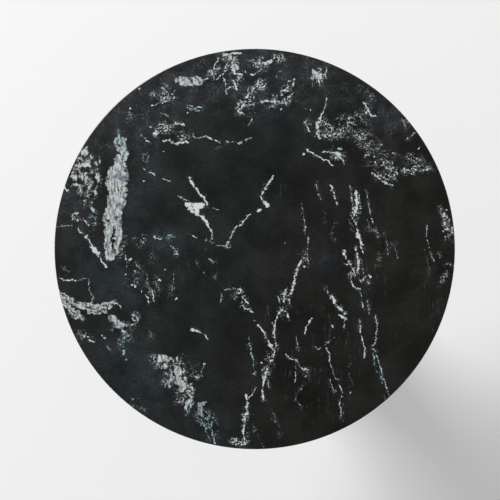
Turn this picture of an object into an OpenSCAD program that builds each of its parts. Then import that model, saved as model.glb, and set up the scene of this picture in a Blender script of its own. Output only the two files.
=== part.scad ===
// Round pedestal table: an eased stone disc, screwed through silicone pads to a steel plate, on a round
// steel column. One tie rod draws the plate, the column and a cast ballast plate together. A spun cover
// flares from the column down over the ballast, which stands on four swivelling levelling feet.
// Millimetres. The origin is on the floor at the column's axis, and +Z is up.

/* [Table] */
// Height of the stone's upper face above the floor
table_h = 750; // [700:5:780]

/* [Stone top] */
// Diameter of the stone
top_d = 610; // [560:10:760]
// Thickness of the stone
top_t = 20; // [18:1:30]
// Radius that eases both rims of the stone
top_ease = 1.5; // [1:0.5:4]
// Depth of the blind holes that the inserts are glued into
insert_hole_depth = 13; // [12:0.5:15]
// Radius of the brass inserts
insert_r = 5; // [4.5:0.1:6]
// Length of the brass inserts
insert_l = 12; // [10:0.5:12]

/* [Mounting plate] */
// Diameter of the steel plate under the stone
plate_d = 300; // [280:10:400]
// Thickness of the plate
plate_t = 6; // [5:1:8]
// Chamfer round the plate's lower rim
plate_chamfer = 2; // [1:0.5:3]
// Number of screws that hold the stone
screw_count = 6; // [4:1:8]
// Diameter of the circle that those screws stand on
screw_circle_d = 250; // [230:5:260]
// Thickness of the silicone pads
pad_t = 2; // [1:0.5:3]
// Diameter of the silicone pads
pad_d = 20; // [14:1:24]
// Diameter of the circle of the three inner pads
inner_pad_circle_d = 120; // [90:5:150]

/* [Column] */
// Outer diameter of the column
column_d = 180; // [170:2:190]
// Wall of the column
column_wall = 2.5; // [2:0.5:3]
// Gap between the column's bore and the rings that centre it
locator_gap = 0.3; // [0.2:0.1:0.5]

/* [Base] */
// Diameter of the flared cover at the floor
base_d = 460; // [450:10:480]
// Height of the cover's lower edge above the floor
cover_lift = 6; // [5:0.5:7]
// Height of the flat land at the cover's rim
land_h = 20; // [19:0.5:22]
// Width of that land
land_w = 18; // [16:1:20]
// Height of the cover's neck
neck_h = 146; // [120:2:180]
// Wall of the spun cover
cover_wall = 2; // [1.5:0.5:2]
// Gap between the neck and the column
neck_gap = 1; // [0.8:0.1:1.5]
// Height of the collar that holds the neck down
collar_h = 12; // [10:1:16]
// Height of the ballast plate's seat for the column
seat_h = 34; // [32:1:38]

/* [Feet] */
// Distance of each foot from the axis
foot_r = 160; // [140:1:162]
// Height of a foot's pad
foot_pad_h = 6; // [6:0.5:6]
// Radius of a foot's pad
foot_pad_r = 18; // [15:1:20]
// Length of the foot's threaded stem
stem_l = 15; // [12:0.5:15]

/* [Hidden] */
$fn = 96;
FOOT_COUNT = 4;
FOOT_START = 45;
FEET = [1 : FOOT_COUNT];

// Colours, as they would be painted
STONE = [0.10, 0.105, 0.105];
POWDER_BLACK = [0.09, 0.09, 0.095];
ZINC = [0.62, 0.63, 0.64];
BRASS = [0.72, 0.58, 0.30];
IRON = [0.20, 0.20, 0.21];

// Running clearance of a thread or swivel, clearance of a bolt hole, glue line, and how far a cutting tool
// passes a face
running = 0.05;
hole_gap = 0.5;
glue_gap = 0.2;
past = 1;

// Metric screws: [thread radius, head radius, head height, key across flats]
M6_BUTTON = [3, 5.25, 3.3, 4];
M6_COUNTERSUNK = [3, 6, 3.3, 4];
// Metric washers: [bore radius, outer radius, thickness]
M6_WASHER = [3.2, 6.25, 1.6];
M12_WASHER = [6.5, 12, 2.5];
M12_SPRING = [6.2, 10.5, 2.5];
// Metric hexagons: [thread radius, width across flats, height]
M12_NUT = [6, 18, 10.8];
M8_HEX = [4, 13, 5];
// Grub screw: [thread radius, key across flats]
M5_SET = [2.5, 2.5];

// Details of the fasteners: the chamfer on a screw's tip, the straight foot of a button head, the depth of a
// hexagon socket, and the split of a spring washer
tip_chamfer = 0.5;
head_foot = 0.8;
socket_depth = 2;
split_w = 1.5;

// Glue grooves of a brass insert
groove_w = 1;
groove_depth = 0.4;

// Levels of the upper joint
stone_z = table_h - top_t;
plate_top_z = stone_z - pad_t;
plate_z = plate_top_z - plate_t;
washer_z = plate_z - M6_WASHER[2];
screw_l = 18;

// Column and the parts that centre it
column_r = column_d / 2;
column_bore_r = column_r - column_wall;
locator_r = column_bore_r - locator_gap;
upper_locator_h = 16;
upper_locator_w = 12;
lower_locator_h = 12;
lower_locator_w = 27;
locator_screw_l = 20;
locator_screw_circle_r = locator_r - lower_locator_w / 2;
locator_screw_count = 3;
hub_r = 22;
hub_h = 32;
hub_roof = 4;
rod_end_gap = 2;
rod_chamfer = 1;
locator_hole_gap = 0.2;
blind_hole_extra = 2;

// Ballast: its underside, its central recess for the tie nut, and its outer edge
casting_z = 8;
tie_recess_r = 20;
tie_recess_z = 27;
casting_edge_gap = 6;
casting_top_gap = 1.5;
casting_chamfer = 2;
casting_step = 1;
rattle_ring_t = 2.5;
rattle_ring_w = 7.5;
rattle_ring_gap = 2;

// Cover: the quarter ellipse of the flare stands on the inner edge of the land
base_r = base_d / 2;
land_r = base_r - land_w;
neck_r = column_r + neck_gap + cover_wall;
flare_w = land_r - neck_r;
flare_h = neck_h - land_h;
rim_r = 3;
collar_gap = 0.2;
collar_w = 5;
collar_ease = 1;
grub_inset = 0.5;
grub_chamfer = 0.3;
grub_socket_depth = 2.2;

// Feet: the flange of the screw swivels in the pad's pocket, and the hex stops in a recess of the ballast
foot_floor = 2;
foot_flange_r = 7;
foot_flange_t = 2;
foot_lip_gap = 0.13;
foot_lip_clearance = 0.6;
foot_pad_chamfer = 1.5;
foot_pad_shoulder = [4, 2];
foot_stem_chamfer = 0.8;
foot_hex_gap = 0.2;
foot_stop_z = foot_pad_h + foot_hex_gap + M8_HEX[2];
foot_recess_r = 9;

// Points of an arc round [x, z], from angle a to angle b
function arc(x, z, r, a, b, steps = 6) =
    [for (i = [0 : steps]) let (t = a + (b - a) * i / steps) [x + r * cos(t), z + r * sin(t)]];

// Points of the flare, grown by d outward from the ellipse's centre, from angle a to angle b
function flare(d, a, b, steps = 18) =
    [for (i = [0 : steps]) let (t = a + (b - a) * i / steps)
        [land_r - (flare_w + d) * cos(t), neck_h - (flare_h + d) * sin(t)]];

// Angle at which the flare grown by d is at height z
function flare_angle(d, z) = asin((neck_h - z) / (flare_h + d));

module around(count, radius, start = 0)
    for (i = [0 : count - 1])
        rotate(start + i * 360 / count) translate([radius, 0, 0]) children();

module ring(outer_r, inner_r, h)
    difference() {
        cylinder(r = outer_r, h = h);
        translate([0, 0, -past]) cylinder(r = inner_r, h = h + 2 * past);
    }

module hex(across_flats, h)
    cylinder(d = across_flats / cos(30), h = h, $fn = 6);

// A rod that points up, with both ends chamfered
module rod(r, l, chamfer)
    rotate_extrude()
        polygon([[0, 0], [r - chamfer, 0], [r, chamfer], [r, l - chamfer], [r - chamfer, l], [0, l]]);

module at_foot(n)
    rotate(FOOT_START + (n - 1) * 360 / FOOT_COUNT) translate([foot_r, 0, 0]) children();

module marble_top()
    color(STONE)
    difference() {
        translate([0, 0, stone_z])
            rotate_extrude()
                polygon(concat(
                    [[0, 0]],
                    arc(top_d / 2 - top_ease, top_ease, top_ease, -90, 0),
                    arc(top_d / 2 - top_ease, top_t - top_ease, top_ease, 0, 90),
                    [[0, top_t]]));
        around(screw_count, screw_circle_d / 2)
            translate([0, 0, stone_z - past])
                cylinder(r = insert_r + glue_gap, h = insert_hole_depth + past);
    }

module stone_inserts()
    color(BRASS)
    around(screw_count, screw_circle_d / 2)
        translate([0, 0, stone_z])
            difference() {
                ring(insert_r, M6_BUTTON[0] + running, insert_l);
                for (groove = [1, 2])
                    translate([0, 0, groove * insert_l / 3 - groove_w / 2])
                        ring(insert_r + past, insert_r - groove_depth, groove_w);
            }

// Six pads lie between the screws, and three near the axis
module silicone_bumpers()
    color("gainsboro")
    translate([0, 0, plate_top_z]) {
        around(screw_count, screw_circle_d / 2, 180 / screw_count) cylinder(d = pad_d, h = pad_t);
        around(3, inner_pad_circle_d / 2) cylinder(d = pad_d, h = pad_t);
    }

// A button-head screw that points up, with its bearing face at z = 0
module button_screw(size, l)
    difference() {
        union() {
            rod(size[0], l, tip_chamfer);
            rotate_extrude()
                polygon(concat(
                    [[0, 0], [size[1], 0], [size[1], -head_foot]],
                    [for (t = [15 : 15 : 60])
                        [size[1] * cos(t), -head_foot - (size[2] - head_foot) * sin(t) / sin(60)]],
                    [[0, -size[2]]]));
        }
        translate([0, 0, -size[2] - past]) hex(size[3], socket_depth + past);
    }

module top_screws()
    color(ZINC)
    around(screw_count, screw_circle_d / 2)
        translate([0, 0, washer_z]) button_screw(M6_BUTTON, screw_l);

module top_washers()
    color(ZINC)
    around(screw_count, screw_circle_d / 2)
        translate([0, 0, washer_z]) ring(M6_WASHER[1], M6_WASHER[0], M6_WASHER[2]);

module top_plate()
    color(POWDER_BLACK)
    translate([0, 0, plate_z])
        difference() {
            rotate_extrude()
                polygon([[0, 0], [plate_d / 2 - plate_chamfer, 0], [plate_d / 2, plate_chamfer],
                         [plate_d / 2, plate_t], [0, plate_t]]);
            around(screw_count, screw_circle_d / 2)
                translate([0, 0, -past]) cylinder(r = M6_BUTTON[0] + hole_gap, h = plate_t + 2 * past);
        }

// The threaded boss that the tie rod pulls on
module plate_hub()
    color(POWDER_BLACK)
    translate([0, 0, plate_z - hub_h])
        difference() {
            cylinder(r = hub_r, h = hub_h);
            translate([0, 0, -past]) cylinder(r = M12_NUT[0] + running, h = hub_h - hub_roof + past);
        }

module upper_locator()
    color(POWDER_BLACK)
    translate([0, 0, plate_z - upper_locator_h])
        ring(locator_r, locator_r - upper_locator_w, upper_locator_h);

module column_tube()
    color(POWDER_BLACK)
    translate([0, 0, seat_h]) ring(column_r, column_bore_r, plate_z - seat_h);

module tie_rod()
    color(ZINC)
    translate([0, 0, casting_z + rod_end_gap / 2])
        rod(M12_NUT[0], plate_z - hub_roof - rod_end_gap - casting_z - rod_end_gap / 2, rod_chamfer);

module tie_washer()
    color(ZINC)
    translate([0, 0, tie_recess_z - M12_WASHER[2]]) ring(M12_WASHER[1], M12_WASHER[0], M12_WASHER[2]);

// The spring washer is drawn flat, with its split
module tie_spring_washer()
    color(ZINC)
    translate([0, 0, tie_recess_z - M12_WASHER[2] - M12_SPRING[2]])
        difference() {
            ring(M12_SPRING[1], M12_SPRING[0], M12_SPRING[2]);
            translate([0, -split_w / 2, -past])
                cube([M12_SPRING[1] + past, split_w, M12_SPRING[2] + 2 * past]);
        }

module tie_nut()
    color(ZINC)
    translate([0, 0, tie_recess_z - M12_WASHER[2] - M12_SPRING[2] - M12_NUT[2]])
        difference() {
            hex(M12_NUT[1], M12_NUT[2]);
            translate([0, 0, -past]) cylinder(r = M12_NUT[0] + running, h = M12_NUT[2] + 2 * past);
        }

module lower_locator()
    color(ZINC)
    translate([0, 0, seat_h])
        difference() {
            ring(locator_r, locator_r - lower_locator_w, lower_locator_h);
            around(locator_screw_count, locator_screw_circle_r) {
                translate([0, 0, -past])
                    cylinder(r = M6_COUNTERSUNK[0] + locator_hole_gap, h = lower_locator_h + 2 * past);
                translate([0, 0, lower_locator_h - M6_COUNTERSUNK[2]])
                    cylinder(r1 = M6_COUNTERSUNK[0], r2 = M6_COUNTERSUNK[1], h = M6_COUNTERSUNK[2]);
            }
        }

// A countersunk screw that points down, with its flat head at z = 0
module countersunk_screw(size, l)
    difference() {
        union() {
            translate([0, 0, -l]) rod(size[0], l, tip_chamfer);
            translate([0, 0, -size[2]]) cylinder(r1 = size[0], r2 = size[1], h = size[2]);
        }
        translate([0, 0, -socket_depth]) hex(size[3], socket_depth + past);
    }

module locator_screws()
    color(ZINC)
    around(locator_screw_count, locator_screw_circle_r)
        translate([0, 0, seat_h + lower_locator_h]) countersunk_screw(M6_COUNTERSUNK, locator_screw_l);

// The upper side runs a fixed gap below the cover, up to the level seat of the column
module ballast_casting() {
    edge_r = base_r - cover_wall - casting_edge_gap;
    edge_z = land_h - cover_wall - rattle_ring_t;
    under = cover_wall + casting_top_gap;
    screw_hole_l = locator_screw_l - lower_locator_h + blind_hole_extra;
    color(IRON)
    difference() {
        rotate_extrude()
            polygon(concat(
                [[0, casting_z], [edge_r - casting_chamfer, casting_z], [edge_r, casting_z + casting_chamfer],
                 [edge_r, edge_z], [land_r + casting_step, edge_z]],
                flare(under, 90, flare_angle(under, seat_h), 6),
                [[0, seat_h]]));
        cylinder(r = M12_WASHER[0], h = seat_h + past);
        cylinder(r = tie_recess_r, h = tie_recess_z);
        around(locator_screw_count, locator_screw_circle_r)
            translate([0, 0, seat_h - screw_hole_l])
                cylinder(r = M6_COUNTERSUNK[0] + running, h = screw_hole_l + past);
        for (n = FEET)
            at_foot(n) {
                cylinder(r = M8_HEX[0] + running, h = seat_h + past);
                cylinder(r = foot_recess_r, h = foot_stop_z);
            }
    }
}

module anti_rattle_ring()
    color("dimgray")
    translate([0, 0, land_h - cover_wall - rattle_ring_t])
        ring(land_r + rattle_ring_gap + rattle_ring_w, land_r + rattle_ring_gap, rattle_ring_t);

module base_cover()
    color(POWDER_BLACK)
    rotate_extrude()
        polygon(concat(
            flare(0, 0, 90),
            arc(base_r - rim_r, land_h - rim_r, rim_r, 90, 0),
            [[base_r, cover_lift], [base_r - cover_wall, cover_lift]],
            arc(base_r - rim_r, land_h - rim_r, rim_r - cover_wall, 0, 90, 3),
            flare(cover_wall, 90, 0)));

module neck_collar()
    color(POWDER_BLACK)
    translate([0, 0, neck_h])
        difference() {
            rotate_extrude()
                polygon(concat(
                    [[column_r + collar_gap, 0]],
                    arc(column_r + collar_w - collar_ease, collar_ease, collar_ease, -90, 0),
                    arc(column_r + collar_w - collar_ease, collar_h - collar_ease, collar_ease, 0, 90),
                    [[column_r + collar_gap, collar_h]]));
            around(3, column_r, 90)
                translate([-past, 0, collar_h / 2])
                    rotate([0, 90, 0]) cylinder(r = M5_SET[0] + running, h = collar_w + 2 * past);
        }

// The set screws bear on the column and end just under the collar's face
module collar_set_screws()
    color(ZINC)
    around(3, column_r, 90)
        translate([0, 0, neck_h + collar_h / 2])
            rotate([0, 90, 0])
                difference() {
                    rod(M5_SET[0], collar_w - grub_inset, grub_chamfer);
                    translate([0, 0, collar_w - grub_inset - grub_socket_depth])
                        hex(M5_SET[1], grub_socket_depth + past);
                }

// A low nylon cup with an undercut pocket for the screw's flange
module foot_pad(n) {
    pocket_r = foot_flange_r + running;
    lip_r = M8_HEX[0] + foot_lip_clearance;
    lip_z = foot_floor + foot_flange_t + foot_lip_gap;
    color("black")
    at_foot(n)
        rotate_extrude()
            polygon([[0, 0], [foot_pad_r - foot_pad_chamfer, 0], [foot_pad_r, foot_pad_chamfer],
                     [foot_pad_r, foot_pad_h - foot_pad_shoulder[1]],
                     [foot_pad_r - foot_pad_shoulder[0], foot_pad_h], [lip_r, foot_pad_h], [lip_r, lip_z],
                     [pocket_r, lip_z], [pocket_r, foot_floor], [0, foot_floor]]);
}

// Flange, neck, hex and threaded stem of a levelling foot
module foot_screw(n)
    color(ZINC)
    at_foot(n) {
        translate([0, 0, foot_floor]) cylinder(r = foot_flange_r, h = foot_flange_t);
        translate([0, 0, foot_floor]) rod(M8_HEX[0], foot_stop_z - foot_floor + stem_l, foot_stem_chamfer);
        translate([0, 0, foot_pad_h + foot_hex_gap]) hex(M8_HEX[1], M8_HEX[2]);
    }

marble_top();
stone_inserts();
silicone_bumpers();
top_screws();
top_washers();
top_plate();
plate_hub();
upper_locator();
column_tube();
tie_rod();
tie_washer();
tie_spring_washer();
tie_nut();
lower_locator();
locator_screws();
ballast_casting();
anti_rattle_ring();
base_cover();
neck_collar();
collar_set_screws();
for (n = FEET) {
    foot_pad(n);
    foot_screw(n);
}
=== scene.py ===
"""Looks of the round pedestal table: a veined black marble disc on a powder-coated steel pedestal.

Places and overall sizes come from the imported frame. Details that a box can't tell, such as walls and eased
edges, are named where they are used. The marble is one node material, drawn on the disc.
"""

import math
from types import SimpleNamespace

import bmesh
import bpy
from mathutils import Matrix, Vector


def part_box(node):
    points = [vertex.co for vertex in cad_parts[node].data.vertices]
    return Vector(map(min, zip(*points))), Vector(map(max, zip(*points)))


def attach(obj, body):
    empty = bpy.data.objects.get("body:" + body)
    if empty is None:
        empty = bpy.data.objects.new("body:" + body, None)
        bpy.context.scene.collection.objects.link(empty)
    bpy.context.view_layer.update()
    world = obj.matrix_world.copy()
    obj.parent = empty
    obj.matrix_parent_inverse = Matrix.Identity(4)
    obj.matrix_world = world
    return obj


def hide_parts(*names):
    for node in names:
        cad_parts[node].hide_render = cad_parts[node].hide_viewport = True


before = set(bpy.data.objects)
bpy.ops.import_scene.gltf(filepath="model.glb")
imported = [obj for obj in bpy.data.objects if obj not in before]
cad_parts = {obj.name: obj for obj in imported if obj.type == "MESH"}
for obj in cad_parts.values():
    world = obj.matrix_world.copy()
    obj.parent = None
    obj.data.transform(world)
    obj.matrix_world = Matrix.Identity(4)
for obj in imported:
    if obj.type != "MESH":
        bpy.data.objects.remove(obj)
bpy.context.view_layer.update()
scene = bpy.context.scene
FEET = (1, 2, 3, 4)
# Spans that hold most, and nearly all, of a noise's values
MOST = (0.36, 0.60)
NEARLY_ALL = (0.3, 0.7)


# ---------------------------------------------------------------- node trees

class Graph:
    """Adds nodes to one tree, in order. Each input gets a number, a colour or another node's output."""

    def __init__(self, tree):
        self.tree = tree

    def node(self, kind, sockets=None, **settings):
        made = self.tree.nodes.new(kind)
        for name, value in settings.items():
            setattr(made, name, value)
        self.feed(made, sockets or {})
        return made

    def feed(self, node, sockets):
        for key, value in sockets.items():
            if isinstance(value, bpy.types.NodeSocket):
                self.tree.links.new(value, node.inputs[key])
            else:
                node.inputs[key].default_value = value

    def math(self, operation, *values):
        sockets = dict(enumerate(values))
        return self.node("ShaderNodeMath", sockets, operation=operation).outputs[0]

    def vector(self, operation, *values):
        made = self.node("ShaderNodeVectorMath", dict(enumerate(values)), operation=operation)
        gives_number = operation in ("LENGTH", "DOT_PRODUCT", "DISTANCE")
        return made.outputs["Value" if gives_number else "Vector"]

    def noise(self, at, scale, detail=2.0, roughness=0.5, output="Fac"):
        """Noise with about scale lumps to one unit of at."""
        sockets = {"Vector": at, "Scale": scale, "Detail": detail, "Roughness": roughness}
        return self.node("ShaderNodeTexNoise", sockets, noise_type="FBM").outputs[output]

    def cells(self, at, scale):
        """Distance from the middle of the nearest cell."""
        sockets = {"Vector": at, "Scale": scale}
        return self.node("ShaderNodeTexVoronoi", sockets, feature="F1").outputs["Distance"]

    def step(self, value, low, high, first=0.0, last=1.0):
        """A smooth step of value from low to high, which gives first to last."""
        sockets = {"Value": value, "From Min": low, "From Max": high, "To Min": first, "To Max": last}
        return self.node("ShaderNodeMapRange", sockets, interpolation_type="SMOOTHSTEP").outputs["Result"]

    def line(self, value, level, half):
        """A thin curly line where value crosses level."""
        away = self.math("ABSOLUTE", self.math("SUBTRACT", value, level))
        return self.step(away, 0.0, half, 1.0, 0.0)

    def mix(self, share, first, second, blend="MIX"):
        # A Mix node's first input is the share, and its colours come after its numbers and vectors
        made = self.node("ShaderNodeMix", data_type="RGBA", blend_type=blend)
        self.feed(made, {0: share, 6: first, 7: second})
        return made.outputs[2]

    def bump(self, height, strength, distance):
        sockets = {"Height": height, "Strength": strength, "Distance": distance}
        return self.node("ShaderNodeBump", sockets).outputs["Normal"]


def new_material(name):
    """An empty node material, its graph, and its Principled shader."""
    material = bpy.data.materials.new(name)
    material.use_nodes = True
    material.node_tree.nodes.clear()
    g = Graph(material.node_tree)
    output = g.node("ShaderNodeOutputMaterial")
    shader = g.node("ShaderNodeBsdfPrincipled")
    g.tree.links.new(shader.outputs[0], output.inputs[0])
    return material, g, shader


def object_point(g):
    return g.node("ShaderNodeTexCoord").outputs["Object"]


# ---------------------------------------------------------------- meshes

# Points closer than this are one point
SAME_POINT = 1e-7
# A thread's depth in pitches, the steepness of its flanks, and how much of them a flat root cuts off
THREAD_DEPTH = 0.61
FLANK = 2.6
ROOT_FLAT = 0.15
ROWS_PER_TURN = 10
# Radius of a hexagon's flat ends, in widths across its flats
HEX_FACE = 0.475
HEX_CHAMFER = math.radians(30)


def add_piece(name, bm, slot, body, *nodes, sharp=30):
    """Makes an object of a bmesh that stands for these CAD nodes and rides on their body."""
    bmesh.ops.remove_doubles(bm, verts=bm.verts, dist=SAME_POINT)
    bmesh.ops.recalc_face_normals(bm, faces=bm.faces)
    mesh = bpy.data.meshes.new(name)
    bm.to_mesh(mesh)
    bm.free()
    mesh.shade_smooth()
    mesh.set_sharp_from_angle(angle=math.radians(sharp))
    mesh.materials.append(finishes[slot])
    made = bpy.data.objects.new(name, mesh)
    scene.collection.objects.link(made)
    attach(made, body)
    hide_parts(*nodes)


def revolve(bm, outline, columns, place):
    """Adds a closed solid round place's Z to bm.

    outline is a list of (radius, height) points, or a function that gives such a list at an angle.
    """
    rings = []
    for column in range(columns):
        angle = 2 * math.pi * column / columns
        across = Vector((math.cos(angle), math.sin(angle), 0))
        points = outline(angle) if callable(outline) else outline
        rings.append([bm.verts.new(place @ (across * r + Vector((0, 0, z)))) for r, z in points])
    for ring, after in zip(rings, rings[1:] + rings[:1]):
        for row in range(len(ring)):
            bm.faces.new((ring[row - 1], after[row - 1], after[row], ring[row]))
    bmesh.ops.remove_doubles(bm, verts=bm.verts, dist=SAME_POINT)


def turned(outline, columns, places=(Matrix.Identity(4),)):
    """A bmesh with the same turned solid at each of the places."""
    bm = bmesh.new()
    for place in places:
        revolve(bm, outline, columns, place)
    return bm


def corner(r, z, radius, start, end, steps=5):
    """Points of a rounded corner whose arc centre is (r, z), between two angles in degrees."""
    angles = [math.radians(start + (end - start) * step / steps) for step in range(steps + 1)]
    return [(r + radius * math.cos(a), z + radius * math.sin(a)) for a in angles]


def rounded_bar(inner, outer, low, high, radius, steps=5):
    """Outline of a ring of rectangular section with rounded corners."""
    return (corner(outer - radius, low + radius, radius, -90, 0, steps)
            + corner(outer - radius, high - radius, radius, 0, 90, steps)
            + corner(inner + radius, high - radius, radius, 90, 180, steps)
            + corner(inner + radius, low + radius, radius, 180, 270, steps))


def thread(angle, major, pitch, low, high, inward=False):
    """Points up a screw thread between two heights, at one angle. It fades out over its last turns."""
    depth = THREAD_DEPTH * pitch * (-1 if inward else 1)
    rows = max(2, round((high - low) / pitch * ROWS_PER_TURN))
    points = []
    for row in range(rows + 1):
        z = low + (high - low) * row / rows
        phase = (z / pitch - angle / (2 * math.pi)) % 1.0
        crest = min(1.0, max(0.0, FLANK * abs(phase - 0.5) - ROOT_FLAT))
        fade = min(1.0, (z - low) / pitch, (high - z) / pitch)
        points.append((major - depth * (1 - crest) * fade, z))
    return points


def chamfered_hex(angle, flats, low, high):
    """Outline up the side of a hexagon with chamfered corners, which stand at 0, 60, 120 degrees."""
    face = HEX_FACE * flats
    turn = angle % (math.pi / 3) - math.pi / 6
    side = flats / 2 / math.cos(turn)
    drop = (side - face) * math.tan(HEX_CHAMFER)
    return [(face, low), (side, low + drop), (side, high - drop), (face, high)]


# ---------------------------------------------------------------- marble

# The tables place the marble's marks on the disc as seen from above, in hundredths of its radius, with u to
# the right (+X) and v up (+Y). Veins and patches are (half width, strength, points). All the others are
# turned ellipses: (u, v, half length, half width, turn in degrees, strength).
PARTS = 100

# Half widths of veins
HAIR = 0.42
FINE = 0.58
MIDDLE = 0.8
BROAD = 1.2

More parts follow.
